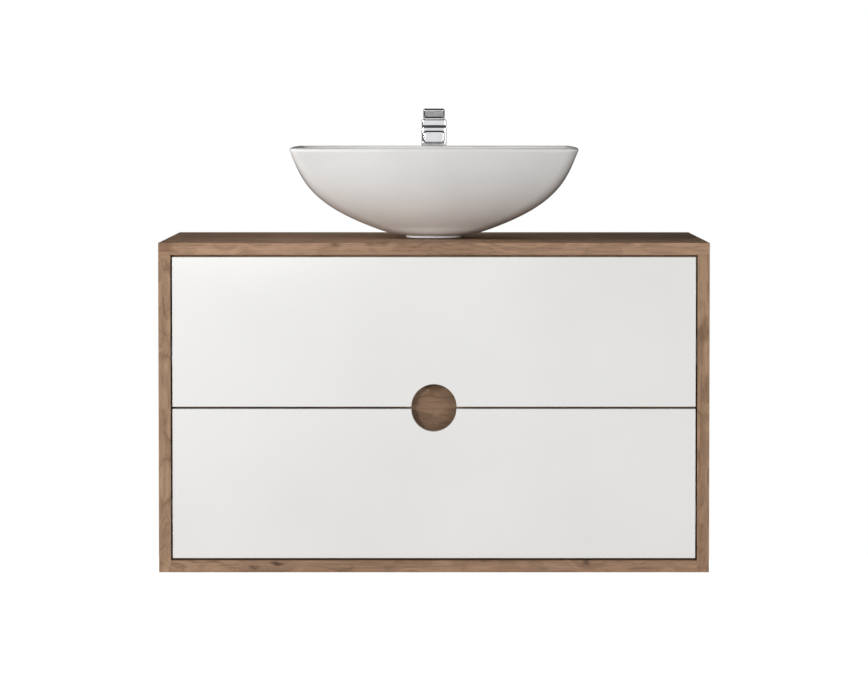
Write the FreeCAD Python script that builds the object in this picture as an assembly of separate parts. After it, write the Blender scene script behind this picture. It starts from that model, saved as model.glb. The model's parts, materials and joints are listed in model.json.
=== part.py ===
import FreeCAD, Part
import math
import os

# Wall-hung vanity: a wood-faced cabinet with two drawers that share one round grip hole,
# a ceramic vessel basin on a small foot, its waste and bottle trap, and a square lever tap.
# Millimetres. +X is right, the fronts face -Y, +Z is up. The origin lies on the wall plane,
# under the middle of the cabinet.

V = FreeCAD.Vector

# Cabinet
WIDTH = 1000
DEPTH = 500
HEIGHT = 600
BOARD = 22
RAIL_BOARD = 18
INNER_X = WIDTH / 2 - BOARD
UNDER_TOP = HEIGHT - BOARD
DRAIN_HOLE_R = 25
TAP_HOLE_R = 17.5

# Drawer fronts: each has half of the grip hole, centred on its own edge at the joint
FRONT_T = 18
FRONT_RECESS = 1
FRONT_SIDE_GAP = 3
FRONT_GAP = 4
JOINT_Z = HEIGHT / 2
GRIP_R = 41
FRONT_BACK_Y = -DEPTH + FRONT_RECESS + FRONT_T
FINGER_ROOM = 22

# Drawer boxes
BOX_BOARD = 16
BOX_BOTTOM = 8
BOX_BOTTOM_UP = 12
GROOVE = 6
SLIDE_ROOM = 13
BOX_X = INNER_X - SLIDE_ROOM
BOX_IN_X = BOX_X - BOX_BOARD
BOX_REAR_Y = -71
UPPER_BOX_Z = (360, 500)
LOWER_BOX_Z = (36, 238)
WELL_HALF = 75
WELL_END_Y = -325

# Cross rails between the sides, and the heights of their end dowels
FRONT_RAIL_Y = -477
FRONT_RAIL_Z = (508, UNDER_TOP)
FRONT_DOWELS_Z = (525, 560)
GRIP_RAIL_Y = FRONT_BACK_Y + FINGER_ROOM
GRIP_RAIL_Z = (245, 355)
GRIP_DOWELS_Z = (275, 325)
HANGING_RAIL_Y = (-34, -18)
HANGING_RAIL_Z = (425, 495)
HANGING_DOWELS_Z = (445, 475)
LOWER_RAIL_TOP = 100
LOWER_DOWELS_Z = (45, 80)

# Knock-down fittings
DOWEL_R = 4
DOWEL_DEEP = 20
DOWEL_SHALLOW = 12
CAM_R = 7.5
CAM_DEPTH = 16
CAM_SETBACK = 34
CAM_WAY_R = 4
BOLT_SHANK_R = 3.5
BOLT_THREAD_R = 2.5
BOLT_THREAD_LENGTH = 11
CAM_ROWS_Y = (-420, -80)
DOWEL_ROWS_Y = (-350, -150)

# Hangers and their wall plates
HANGER_X = (462, 478)
HANGER_Y = (-72, -24)
HANGER_Z = (520, 576)
HOOK_X = (466, 474)
HOOK_LIP_Y = (-5.5, -2.5)
HOOK_LIP_Z = 560
ADJUSTER_R = 4
ADJUSTER_X = 470
ADJUSTER_Z = 548
ADJUSTER_DEPTH = 4
PLATE_X = (418, 476)
PLATE_Z = (498, 572)
PLATE_T = 2
PLATE_STEP_Z = 554
PLATE_STEP = 8.5
PLATE_HOLE_X = 430
PLATE_HOLES_Z = (508, 542)
PLATE_HOLE_R = 3
PLATE_GAP = 0.2

# Ball runners: three nested channels a side, each with its half height and its reach off the side
RUNNER_Y = (-477, -77)
RUNNER_SHEET = 1.2
RAIL_HALF = 22.8
RAIL_REACH = 11
MIDDLE_HALF = 19
MIDDLE_REACH = (3, 11.2)
SLIDE_HALF = 15.5
SLIDE_WIDE = 7
UPPER_RUNNER_Z = 400
LOWER_RUNNER_Z = 110
RUNNER_SCREWS_Y = (-440, -276, -112)
SCREW_R = 1.75
SCREW_LENGTH = 12
SCREW_HEAD_R = 3.4
SCREW_HEAD = 1.4
FRONT_SCREWS_X = (-380, -200, 200, 380)
UPPER_FRONT_SCREWS_Z = (400, 470)
LOWER_FRONT_SCREWS_Z = (90, 190)
FRONT_SCREW_R = 2
FRONT_SCREW_BITE = 12
FRONT_SCREW_HEAD_R = 4
FRONT_SCREW_HEAD = 2.5

# Basin
BASIN_Y = -275
RIM_A = 268.5
RIM_B = 200
RIM_Z = 771
WALL = 9
FOOT_R = 52.5
FOOT_Z = 601.5
BELLY_Z = 606
BELLY_R = 56
BELLY_CORNER_R = 50
BELLY_BOW = 26
HULL_Z = 614
FLOOR_Z = 622
FLANGE_SEAT = 2.5
FOOT_RECESS_R = 40
FOOT_RECESS = 5
BASIN_SEAL_R = (42, 50)
HULL_BASE = 0.36
HULL_TAPER = 0.19
HULL_POWER = 3.2
HULL_LEVELS = 9
RIM_CORNER_R = 18
BASE_CORNER_R = 58
RIM_BOW = 0.03
BASE_BOW = 0.26

# Waste and bottle trap
WASTE_HOLE_R = 22.5
WASTE_R = 21
WASTE_WALL = 2.5
WASTE_FLANGE_R = 32
WASTE_TOP = 622.5
WASTE_BOTTOM = 540
PLUG_TRAVEL = 9
PLUG_GAP = 0.3
PLUG_R = 31
PLUG_T = 5
PLUG_EDGE = 2
PLUG_STEM_R = 3.5
PLUG_STEM_LOW = 590
HUB_Z = (604, 608)
HUB_R = 8
HUB_ARM_HALF = 1.5
UNDER_SEAL_R = 30
UNDER_SEAL_T = 3
WASTE_NUT_FLATS = 52
WASTE_NUT_T = 12
TRAP_Z = 395
TRAP_R = 35
TRAP_WALL = 2.5
TRAP_BODY_UP = 26
TRAP_BODY_DOWN = 28
TRAP_ROOF = 4
TRAP_NECK = 16
CUP_DEPTH = 52
CUP_FLOOR = 3
CUP_SPIGOT = 10
TUBE_OFF_FLOOR = 22
COLLAR_T = 3
SOCKET_Y = (-245, -212)
PIPE_IN_SOCKET = 7
DEPTH_MARK = 0.4
TUBE_R = 16
TUBE_WALL = 1.5
SOCKET_R = 20
NUT_R = 24
NUT_GRIP = 16
TOP_NUT_GRIP = 12
NUT_LIP = 6
INLET_NUT_LIP = 9
PIPE_END_Y = 45
TUBE_PLAY = 0.3
ROSETTE_R = 37
ROSETTE_SLOPE = 7
ROSETTE_T = 12

# Tap
TAP_Y = -45
TAP_HALF = 24
TAP_CORNER = 3
TAP_BASE = 602
TAP_TOP = 805.5
TAP_WAY_Z = 788.5
TAP_WAY_R = 6
SPOUT_HALF = 21
SPOUT_Z = (776, 801)
SPOUT_TIP_Y = -190
SPOUT_CORNER = 7
SPOUT_NOSE = 4
AERATOR_Y = -174
CARTRIDGE_R = 17.5
POCKET_R = 18
POCKET_Z = 765
CARTRIDGE_TOP = 801
YOKE_R = 9.9
YOKE_Z = (790.3, 815)
SPACER_Z = (TAP_TOP, 810.1)
HANDLE_Z = (810.5, 821.5)
HANDLE_EDGE = 2
PIVOT_Z = 812
LIFT_ANGLE = 20
LEVER_HALF = 20.5
LEVER_TIP_Y = -142
LEVER_TOP_Z = 843.5
LEVER_HEEL_Z = 829.5
LEVER_NOSE = 19
LEVER_EDGE = 4
INLET_X = 8.5
INLET_Y = -51
INLET_R = 5
INLET_DEPTH = 18
WATERWAY_R = 4.5
STUD_Y = -37
STUD_R = 4
STUD_LOW = 540
STUD_DEEP = 15
CLAMP_R = 23
CLAMP_SEAL_T = 3
CLAMP_PLATE_T = 2.5
CLAMP_MOUTH = 15
STUD_NUT_FLATS = 13
STUD_NUT_T = 10
AERATOR_R = 12
AERATOR_DEEP = 10
AERATOR_RECESS = 1
AERATOR_THROAT = 3
AERATOR_HOLE_R = 1.6
AERATOR_HOLES_R = 5.5
STEM_X = 3.6
STEM_Y = 4
STEM_LOW = 802
STEM_TOP = 828
PIN_R = 1.5
GRUB_R = 2.5
GRUB_Z = 825
GRUB_LENGTH = 10


def block(x, y, z):
    """Box over three (low, high) spans."""
    return Part.makeBox(x[1] - x[0], y[1] - y[0], z[1] - z[0], V(x[0], y[0], z[0]))


def rod(radius, start, end):
    """Cylinder from one point to another."""
    along = V(*end) - V(*start)
    return Part.makeCylinder(radius, along.Length, V(*start), along)


def ring(outer, inner, start, end):
    return rod(outer, start, end).cut(rod(inner, start, end))


def upright(radius, x, y, z):
    """Vertical cylinder over a (low, high) span."""
    return rod(radius, (x, y, z[0]), (x, y, z[1]))


def upright_ring(outer, inner, y, z):
    return upright(outer, 0, y, z).cut(upright(inner, 0, y, z))


def lengthwise_ring(outer, inner, y, z):
    """Ring about a line along Y at x = 0."""
    return ring(outer, inner, (0, y[0], z), (0, y[1], z))


def rounded_bar(x_half, y, z, corner, edges_along):
    """Box with the edges along one axis rounded."""
    body = block((-x_half, x_half), y, z)
    picked = [e for e in body.Edges if abs(e.tangentAt(e.FirstParameter).dot(edges_along)) > 0.99]
    return body.makeFillet(corner, picked)


def hex_prism(across_flats, start, end):
    """Hexagonal prism about a line along Y or Z."""
    along = V(*end) - V(*start)
    up = along.cross(V(1, 0, 0)).normalize()
    corner = across_flats / math.sqrt(3)
    turns = [math.radians(60 * i) for i in range(7)]
    outline = [V(*start) + V(1, 0, 0) * (corner * math.cos(t)) + up * (corner * math.sin(t)) for t in turns]
    return Part.Face(Part.makePolygon(outline)).extrude(along)


def mirrored(shape):
    """The same shape on the other side of the middle plane."""
    return shape.mirror(V(0, 0, 0), V(1, 0, 0))


def both_sides(shapes):
    return shapes + [mirrored(shape) for shape in shapes]


def screw(point, along, shank_r, length, head_r, head):
    """Screw whose head seats on a point: the screw, and the bore that its shank fills."""
    seat = V(*point)
    way = V(*along)
    bore = Part.makeCylinder(shank_r, length, seat, way)
    return bore.fuse(Part.makeCylinder(head_r, head, seat - way * head, way)), bore


def save(node, *solids):
    shape = solids[0] if len(solids) == 1 else Part.makeCompound(list(solids))
    shape.exportStep("parts/" + node + ".step")


# ---------------------------------------------------------------- cabinet

def cam_joint(face_point, inward, towards):
    """Cam sunk in a board's face, the bolt that it pulls, and the bores in the two boards."""
    face = V(*face_point)
    way = V(*towards)
    middle = face + V(*inward) * (BOARD / 2)
    edge = middle + way * CAM_SETBACK
    seat = Part.makeCylinder(CAM_R, CAM_DEPTH, face, V(*inward))
    bolt_way = Part.makeCylinder(CAM_WAY_R, CAM_SETBACK, middle, way)
    thread = Part.makeCylinder(BOLT_THREAD_R, BOLT_THREAD_LENGTH, edge, way)
    bolt = Part.makeCylinder(BOLT_SHANK_R, CAM_SETBACK, middle, way).fuse(thread)
    return seat.cut(bolt_way), bolt, seat.fuse(bolt_way), thread


def end_dowels(y, z):
    """Dowels from a cross board's two ends into the sides."""
    return both_sides([rod(DOWEL_R, (INNER_X - DOWEL_DEEP, y, z), (INNER_X + DOWEL_SHALLOW, y, z))])


def make_cabinet(runner_bores):
    side_x = INNER_X + BOARD / 2
    dowel_z = (UNDER_TOP - DOWEL_DEEP, UNDER_TOP + DOWEL_SHALLOW)
    top_dowels = both_sides([upright(DOWEL_R, side_x, y, dowel_z) for y in DOWEL_ROWS_Y])
    bottom_dowels = [d for y in DOWEL_ROWS_Y for d in end_dowels(y, BOARD / 2)]
    front_dowels = [d for z in FRONT_DOWELS_Z for d in end_dowels(FRONT_RAIL_Y + RAIL_BOARD / 2, z)]
    grip_dowels = [d for z in GRIP_DOWELS_Z for d in end_dowels(GRIP_RAIL_Y + RAIL_BOARD / 2, z)]
    hanging_dowels = [d for z in HANGING_DOWELS_Z for d in end_dowels(sum(HANGING_RAIL_Y) / 2, z)]
    lower_dowels = [d for z in LOWER_DOWELS_Z for d in end_dowels(-RAIL_BOARD / 2, z)]
    rail_dowels = front_dowels + grip_dowels + hanging_dowels + lower_dowels

    top_cams = [cam_joint((INNER_X, y, UNDER_TOP - CAM_SETBACK), (1, 0, 0), (0, 0, 1)) for y in CAM_ROWS_Y]
    low_cams = [cam_joint((INNER_X - CAM_SETBACK, y, 0), (0, 0, 1), (1, 0, 0)) for y in CAM_ROWS_Y]

    drain = upright(DRAIN_HOLE_R, 0, BASIN_Y, (UNDER_TOP, HEIGHT))
    tap_hole = upright(TAP_HOLE_R, 0, TAP_Y, (UNDER_TOP, HEIGHT))
    worktop = block((-WIDTH / 2, WIDTH / 2), (-DEPTH, 0), (UNDER_TOP, HEIGHT))
    save("worktop", worktop.cut([drain, tap_hole] + top_dowels + both_sides([c[3] for c in top_cams])))

    side = block((INNER_X, WIDTH / 2), (-DEPTH, 0), (0, UNDER_TOP))
    side_bores = top_dowels + bottom_dowels + rail_dowels
    side_bores += [c[2] for c in top_cams] + [c[3] for c in low_cams] + runner_bores
    right = side.cut(side_bores)
    save("side_panel_right", right)
    save("side_panel_left", mirrored(right))

    bottom = block((-INNER_X, INNER_X), (-DEPTH, 0), (0, BOARD))
    save("bottom_panel", bottom.cut(bottom_dowels + both_sides([c[2] for c in low_cams])))

    front_rail = block((-INNER_X, INNER_X), (FRONT_RAIL_Y, FRONT_RAIL_Y + RAIL_BOARD), FRONT_RAIL_Z)
    save("front_rail", front_rail.cut(front_dowels))
    grip_rail = block((-INNER_X, INNER_X), (GRIP_RAIL_Y, GRIP_RAIL_Y + RAIL_BOARD), GRIP_RAIL_Z)
    save("grip_rail", grip_rail.cut(grip_dowels))
    hanging_rail = block((-INNER_X, INNER_X), HANGING_RAIL_Y, HANGING_RAIL_Z)
    lower_rail = block((-INNER_X, INNER_X), (-RAIL_BOARD, 0), (BOARD, LOWER_RAIL_TOP))
    save("rear_rails", hanging_rail.cut(hanging_dowels), lower_rail.cut(lower_dowels))

    cams = top_cams + low_cams
    save("cam_locks", *both_sides([c[0] for c in cams]))
    save("cam_bolts", *both_sides([c[1] for c in cams]))
    save("dowels", *top_dowels, *bottom_dowels, *rail_dowels)


def make_hangers():
    """Hanger housings against the sides, whose hooks drop behind the stepped wall plates."""
    hook_top = HANGER_Z[1]
    hook_under = PLATE_Z[1] + PLATE_GAP
    housing = block(HANGER_X, HANGER_Y, HANGER_Z)
    arm = block(HOOK_X, (HANGER_Y[1], HOOK_LIP_Y[1]), (hook_under, hook_top))
    lip = block(HOOK_X, HOOK_LIP_Y, (HOOK_LIP_Z, hook_under))
    adjuster = rod(ADJUSTER_R, (ADJUSTER_X, HANGER_Y[0], ADJUSTER_Z),
                   (ADJUSTER_X, HANGER_Y[0] + ADJUSTER_DEPTH, ADJUSTER_Z))
    save("cabinet_hangers", *both_sides([housing.cut(adjuster).fuse([arm, lip])]))

    flat = block(PLATE_X, (-PLATE_T, 0), (PLATE_Z[0], PLATE_STEP_Z + PLATE_T))
    step = block(PLATE_X, (-PLATE_STEP, -PLATE_T), (PLATE_STEP_Z, PLATE_STEP_Z + PLATE_T))
    catch = block(PLATE_X, (-PLATE_STEP, -PLATE_STEP + PLATE_T), (PLATE_STEP_Z + PLATE_T, PLATE_Z[1]))
    holes = [rod(PLATE_HOLE_R, (PLATE_HOLE_X, -PLATE_T, z), (PLATE_HOLE_X, 0, z)) for z in PLATE_HOLES_Z]
    save("wall_plates", *both_sides([flat.fuse([step, catch]).cut(holes)]))


# ---------------------------------------------------------------- drawers

def channel(web_x, mouth_x, half_height, y, z):
    """Thin C channel: its web on one plane, its flanges reaching to the mouth."""
    span = (min(web_x, mouth_x), max(web_x, mouth_x))
    body = block(span, y, (z - half_height, z + half_height))
    inward = RUNNER_SHEET if mouth_x > web_x else -RUNNER_SHEET
    room = (min(web_x + inward, mouth_x), max(web_x + inward, mouth_x))
    inside = half_height - RUNNER_SHEET
    return body.cut(block(room, y, (z - inside, z + inside)))


def make_runners(name, z):
    """Runner pair of one drawer: its screws and the bores in the sides and the box sides."""
    rail = channel(INNER_X, INNER_X - RAIL_REACH, RAIL_HALF, RUNNER_Y, z)
    middle = channel(INNER_X - MIDDLE_REACH[0], INNER_X - MIDDLE_REACH[1], MIDDLE_HALF, RUNNER_Y, z)
    slide = channel(BOX_X, BOX_X + SLIDE_WIDE, SLIDE_HALF, RUNNER_Y, z)
    rail_screws = [screw((INNER_X - RUNNER_SHEET, y, z), (1, 0, 0), SCREW_R, SCREW_LENGTH,
                         SCREW_HEAD_R, SCREW_HEAD) for y in RUNNER_SCREWS_Y]
    box_screws = [screw((BOX_X + RUNNER_SHEET, y, z), (-1, 0, 0), SCREW_R, SCREW_LENGTH,
                        SCREW_HEAD_R, SCREW_HEAD) for y in RUNNER_SCREWS_Y]
    rail_bores = [s[1] for s in rail_screws]
    box_bores = [s[1] for s in box_screws]
    save(name + "_runner_rails", *both_sides([rail.cut(rail_bores)]))
    save(name + "_runner_middles", *both_sides([middle]))
    save(name + "_runner_slides", *both_sides([slide.cut(box_bores)]))
    return [s[0] for s in rail_screws], rail_bores, [s[0] for s in box_screws], box_bores


def make_front(node, z, grip_z, bores):
    half = INNER_X - FRONT_SIDE_GAP
    board = block((-half, half), (FRONT_BACK_Y - FRONT_T, FRONT_BACK_Y), z)
    grip = rod(GRIP_R, (0, FRONT_BACK_Y - FRONT_T, grip_z), (0, FRONT_BACK_Y, grip_z))
    save(node, board.cut([grip] + bores))


def front_screws(z):
    """Screws from inside the box front into the drawer front."""
    seat_y = FRONT_BACK_Y + BOX_BOARD
    return [screw((x, seat_y, height), (0, -1, 0), FRONT_SCREW_R, BOX_BOARD + FRONT_SCREW_BITE,
                  FRONT_SCREW_HEAD_R, FRONT_SCREW_HEAD) for x in FRONT_SCREWS_X for height in z]


def make_box(name, z, bottom, box_screws, box_bores, screws):
    """The parts that both drawer boxes have: sides, front, bottom and fixings."""
    floor = (z[0] + BOX_BOTTOM_UP, z[0] + BOX_BOTTOM_UP + BOX_BOTTOM)
    groove = block((-BOX_IN_X - GROOVE, BOX_IN_X + GROOVE),
                   (FRONT_BACK_Y + BOX_BOARD - GROOVE, BOX_REAR_Y), floor)
    side = block((BOX_IN_X, BOX_X), (FRONT_BACK_Y, BOX_REAR_Y), z)
    save(name + "_box_sides", *both_sides([side.cut([groove] + box_bores)]))
    front = block((-BOX_IN_X, BOX_IN_X), (FRONT_BACK_Y, FRONT_BACK_Y + BOX_BOARD), z)
    save(name + "_box_front", front.cut([groove] + [s[1] for s in screws]))
    save(name + "_box_bottom", groove.cut(bottom) if bottom else groove)
    save(name + "_drawer_screws", *[s[0] for s in screws], *both_sides(box_screws))
    return floor[1]


def make_upper_drawer(box_screws, box_bores):
    """Drawer whose box is cut out in a U, open to the rear, for the trap."""
    screws = front_screws(UPPER_FRONT_SCREWS_Z)
    front_z = (JOINT_Z + FRONT_GAP / 2, UNDER_TOP - FRONT_GAP)
    make_front("upper_drawer_front", front_z, front_z[0], [s[1] for s in screws])
    notch = block((-WELL_HALF, WELL_HALF), (WELL_END_Y, BOX_REAR_Y), UPPER_BOX_Z)
    floor = make_box("upper", UPPER_BOX_Z, notch, box_screws, box_bores, screws)
    z = (floor, UPPER_BOX_Z[1])
    well_x = WELL_HALF + BOX_BOARD
    end = block((-well_x, well_x), (WELL_END_Y - BOX_BOARD, WELL_END_Y), z)
    cheek = block((WELL_HALF, well_x), (WELL_END_Y, BOX_REAR_Y), z)
    save("plumbing_well_walls", end, *both_sides([cheek]))
    back = block((well_x, BOX_IN_X), (BOX_REAR_Y - BOX_BOARD, BOX_REAR_Y), z)
    save("upper_box_backs", *both_sides([back]))


def make_lower_drawer(box_screws, box_bores):
    screws = front_screws(LOWER_FRONT_SCREWS_Z)
    front_z = (BOARD + FRONT_GAP, JOINT_Z - FRONT_GAP / 2)
    make_front("lower_drawer_front", front_z, front_z[1], [s[1] for s in screws])
    floor = make_box("lower", LOWER_BOX_Z, None, box_screws, box_bores, screws)
    back = block((-BOX_IN_X, BOX_IN_X), (BOX_REAR_Y - BOX_BOARD, BOX_REAR_Y), (floor, LOWER_BOX_Z[1]))
    save("lower_box_back", back)


# ---------------------------------------------------------------- basin

def bowed_rectangle(a, b, corner, bow_x, bow_y, z):
    """Closed outline of four shallow arcs joined by tangent corner arcs."""
    long_r = a * a / (2 * bow_y)
    short_r = b * b / (2 * bow_x)
    long_c = (0, b - long_r)
    short_c = (a - short_r, 0)
    reach_1 = long_r - corner
    reach_2 = short_r - corner
    dx = short_c[0] - long_c[0]
    dy = short_c[1] - long_c[1]
    apart = math.hypot(dx, dy)
    along = (reach_1 ** 2 - reach_2 ** 2 + apart ** 2) / (2 * apart)
    across = math.sqrt(reach_1 ** 2 - along ** 2)
    options = [(long_c[0] + (along * dx - s * across * dy) / apart,
                long_c[1] + (along * dy + s * across * dx) / apart) for s in (1, -1)]
    cx, cy = max(options)
    k_long = long_r / reach_1
    k_short = short_r / reach_2
    on_long = (long_c[0] + (cx - long_c[0]) * k_long, long_c[1] + (cy - long_c[1]) * k_long)
    on_short = (short_c[0] + (cx - short_c[0]) * k_short, short_c[1] + (cy - short_c[1]) * k_short)
    reach = corner / math.hypot(cx, cy)
    on_corner = (cx + cx * reach, cy + cy * reach)

    def at(point, sx, sy):
        return V(sx * point[0], BASIN_Y + sy * point[1], z)

    edges = []
    for sx, sy, first, last in ((1, 1, on_short, on_long), (-1, 1, on_long, on_short),
                                (-1, -1, on_short, on_long), (1, -1, on_long, on_short)):
        edges.append(Part.Arc(at(first, sx, sy), at(on_corner, sx, sy), at(last, sx, sy)).toShape())
        if first is on_short:
            edges.append(Part.Arc(at(last, sx, sy), at((0, b), sx, sy), at(last, -sx, sy)).toShape())
        else:
            edges.append(Part.Arc(at(last, sx, sy), at((a, 0), sx, sy), at(last, sx, -sy)).toShape())
    return Part.Wire(edges)


def bowl_section(t, inset, z):
    """Section of the bowl at a share t of its height, drawn in by an inset."""
    down = 1 - t
    a = RIM_A * (1 - HULL_TAPER * down - (1 - HULL_BASE - HULL_TAPER) * down ** HULL_POWER)
    b = FOOT_R + (a - FOOT_R) * (RIM_B - FOOT_R) / (RIM_A - FOOT_R)
    corner = BASE_CORNER_R + (RIM_CORNER_R - BASE_CORNER_R) * math.sqrt(t)
    bow = BASE_BOW + (RIM_BOW - BASE_BOW) * math.sqrt(t)
    return bowed_rectangle(a - inset, b - inset, corner - inset, bow * b, bow * a, z)


def bowl_loft(low, inset):
    """Smooth body between a low level and the rim."""
    shares = [i / (HULL_LEVELS - 1) for i in range(HULL_LEVELS)]
    return Part.makeLoft([bowl_section(t, inset, low + (RIM_Z - low) * t) for t in shares], True, False)


def make_basin():
    hull = bowl_loft(HULL_Z, 0)
    base_edge = bowl_section(0, 0, HULL_Z)
    foot_edge = bowed_rectangle(BELLY_R, BELLY_R - 1, BELLY_CORNER_R, BELLY_BOW, BELLY_BOW, BELLY_Z)
    belly = Part.makeLoft([foot_edge, base_edge], True, True)
    foot = upright(FOOT_R, 0, BASIN_Y, (FOOT_Z, HULL_Z + 4))
    body = hull.fuse([belly, foot]).cut(bowl_loft(FLOOR_Z, WALL))
    waste_hole = upright(WASTE_HOLE_R, 0, BASIN_Y, (FOOT_Z, FLOOR_Z))
    flange_seat = upright(WASTE_FLANGE_R + 1, 0, BASIN_Y, (FLOOR_Z - FLANGE_SEAT, FLOOR_Z))
    foot_recess = upright(FOOT_RECESS_R, 0, BASIN_Y, (FOOT_Z, FOOT_Z + FOOT_RECESS))
    save("basin", body.cut([waste_hole, flange_seat, foot_recess]))
    save("basin_seal", upright_ring(BASIN_SEAL_R[1], BASIN_SEAL_R[0], BASIN_Y, (HEIGHT, FOOT_Z)))


# ---------------------------------------------------------------- waste and trap

def make_waste():
    seal_z = FLOOR_Z - FLANGE_SEAT
    flange_z = seal_z + 1
    tube_in = WASTE_R - WASTE_WALL
    flange = upright(WASTE_FLANGE_R, 0, BASIN_Y, (flange_z, WASTE_TOP))
    tube = upright(WASTE_R, 0, BASIN_Y, (WASTE_BOTTOM, flange_z))
    bore = upright(tube_in, 0, BASIN_Y, (WASTE_BOTTOM, WASTE_TOP))
    hub = upright(HUB_R, 0, BASIN_Y, HUB_Z)
    arm_x = block((-tube_in - 1, tube_in + 1), (BASIN_Y - HUB_ARM_HALF, BASIN_Y + HUB_ARM_HALF), HUB_Z)
    arms = [arm_x, arm_x.rotated(V(0, BASIN_Y, 0), V(0, 0, 1), 90)]
    guide = upright(PLUG_STEM_R + 0.1, 0, BASIN_Y, HUB_Z)
    save("waste_body", flange.fuse(tube).cut(bore).fuse([hub] + arms).cut(guide))
    nut_z = (UNDER_TOP - UNDER_SEAL_T - WASTE_NUT_T, UNDER_TOP - UNDER_SEAL_T)
    save("waste_seals", upright_ring(WASTE_FLANGE_R - 1, WASTE_R, BASIN_Y, (seal_z, flange_z)),
         upright_ring(UNDER_SEAL_R, WASTE_R, BASIN_Y, (nut_z[1], UNDER_TOP)))
    nut = hex_prism(WASTE_NUT_FLATS, (0, BASIN_Y, nut_z[0]), (0, BASIN_Y, nut_z[1]))
    save("waste_nut", nut.cut(upright(WASTE_R, 0, BASIN_Y, nut_z)))

    cap_z = WASTE_TOP + PLUG_TRAVEL + PLUG_GAP
    cap = upright(PLUG_R, 0, BASIN_Y, (cap_z, cap_z + PLUG_T))
    cap = cap.makeFillet(PLUG_EDGE, [e for e in cap.Edges if abs(e.BoundBox.ZMin - cap_z - PLUG_T) < 0.01])
    stem = upright(PLUG_STEM_R, 0, BASIN_Y, (PLUG_STEM_LOW, cap_z))
    save("waste_plug", cap.fuse(stem))


def coupling_nut(start, lip, end, outer, wide):
    """Nut that clamps a tube: a wide bore as far as its lip, then a close one round the tube."""
    return ring(outer, TUBE_R + TUBE_PLAY, start, end).cut(rod(wide, start, lip))


def make_trap():
    """Bottle trap: the inlet tube dips into a cup, and the outlet pipe runs to the wall."""
    body_z = (TRAP_Z - TRAP_BODY_DOWN, TRAP_Z + TRAP_BODY_UP)
    roof_z = body_z[1] - TRAP_ROOF
    neck_top = body_z[1] + TRAP_NECK
    cup_low = body_z[0] - CUP_DEPTH
    tube_top = WASTE_BOTTOM - COLLAR_T
    inner = TRAP_R - TRAP_WALL
    tube_in = TUBE_R - TUBE_WALL
    loose = TUBE_R + TUBE_PLAY

    tube = upright(TUBE_R, 0, BASIN_Y, (cup_low + TUBE_OFF_FLOOR, tube_top))
    collar = upright(WASTE_R - 0.5, 0, BASIN_Y, (tube_top, WASTE_BOTTOM))
    save("trap_inlet_tube", tube.fuse(collar).cut(upright(tube_in, 0, BASIN_Y, (cup_low, WASTE_BOTTOM))))

    shell = upright(TRAP_R, 0, BASIN_Y, body_z).cut(upright(inner, 0, BASIN_Y, (body_z[0], roof_z)))
    neck = upright(SOCKET_R, 0, BASIN_Y, (body_z[1], neck_top))
    socket = rod(SOCKET_R, (0, BASIN_Y + inner + 1, TRAP_Z), (0, SOCKET_Y[1], TRAP_Z))
    ways = [upright(loose, 0, BASIN_Y, (roof_z, neck_top)),
            rod(loose, (0, SOCKET_Y[0], TRAP_Z), (0, SOCKET_Y[1], TRAP_Z))]
    save("trap_body", shell.fuse([neck, socket]).cut(ways))

    cup = upright(TRAP_R, 0, BASIN_Y, (cup_low, body_z[0]))
    spigot = upright(inner, 0, BASIN_Y, (body_z[0], body_z[0] + CUP_SPIGOT))
    hollow = upright(inner - TRAP_WALL, 0, BASIN_Y, (cup_low + CUP_FLOOR, body_z[0] + CUP_SPIGOT))
    save("trap_cup", cup.fuse(spigot).cut(hollow))

    inlet_nut = coupling_nut((0, BASIN_Y, WASTE_BOTTOM + NUT_GRIP), (0, BASIN_Y, tube_top),
                             (0, BASIN_Y, tube_top - INLET_NUT_LIP), NUT_R + 2, WASTE_R)
    top_nut = coupling_nut((0, BASIN_Y, neck_top - TOP_NUT_GRIP), (0, BASIN_Y, neck_top),
                           (0, BASIN_Y, neck_top + NUT_LIP), NUT_R, SOCKET_R)
    outlet_nut = coupling_nut((0, SOCKET_Y[1] - NUT_GRIP, TRAP_Z), (0, SOCKET_Y[1], TRAP_Z),
                              (0, SOCKET_Y[1] + NUT_LIP, TRAP_Z), NUT_R, SOCKET_R)
    save("trap_nuts", inlet_nut, top_nut, outlet_nut)

    pipe = lengthwise_ring(TUBE_R, tube_in, (SOCKET_Y[0] + PIPE_IN_SOCKET, PIPE_END_Y), TRAP_Z)
    depth_mark = lengthwise_ring(TUBE_R + 1, TUBE_R - DEPTH_MARK, (-1, 0), TRAP_Z)
    save("trap_outlet_pipe", pipe.cut(depth_mark))
    rosette = Part.makeCone(ROSETTE_R, ROSETTE_R - ROSETTE_SLOPE, ROSETTE_T, V(0, 0, TRAP_Z), V(0, -1, 0))
    save("wall_rosette", rosette.cut(rod(loose, (0, -ROSETTE_T, TRAP_Z), (0, 0, TRAP_Z))))


# ---------------------------------------------------------------- tap

def square_ring(half, hole_r, z):
    body = rounded_bar(half, (TAP_Y - half, TAP_Y + half), z, TAP_CORNER, V(0, 0, 1))
    return body.cut(upright(hole_r, 0, TAP_Y, z))


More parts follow.
